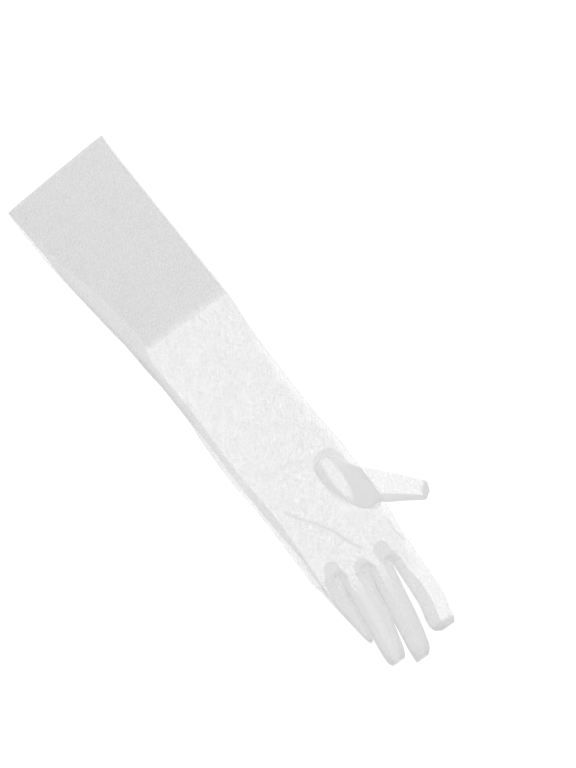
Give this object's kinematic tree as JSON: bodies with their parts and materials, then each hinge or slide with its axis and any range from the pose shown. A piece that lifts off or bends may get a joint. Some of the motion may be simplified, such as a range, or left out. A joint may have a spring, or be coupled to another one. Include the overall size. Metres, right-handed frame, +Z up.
{
  "type": "tulle glove",
  "caption": "Sheer white tulle evening glove of elbow length, lying flat with its palm up, with a set-in thumb, gusseted fingers and a deep turned-in top.",
  "frame": {"origin": "middle of the glove's box, on the table under it", "axes": "+Y from the cuff to the fingertips, -X towards the thumb, +Z up from the table, palm up"},
  "size_m": [0.1362, 0.4548, 0.0196],
  "materials": {
    "tulle": "sheer white hexagonal nylon net, matt, two plies thick where the glove lies flat",
    "tulle_gusset": "the same white net, folded double in the gussets, so it looks denser"
  },
  "bodies": {
    "root": {"trank": "tulle", "thumb": "tulle", "fourchette_index_middle": "tulle_gusset", "fourchette_middle_ring": "tulle_gusset", "fourchette_ring_little": "tulle_gusset", "cuff_facing": "tulle"}
  },
  "joints": []
}
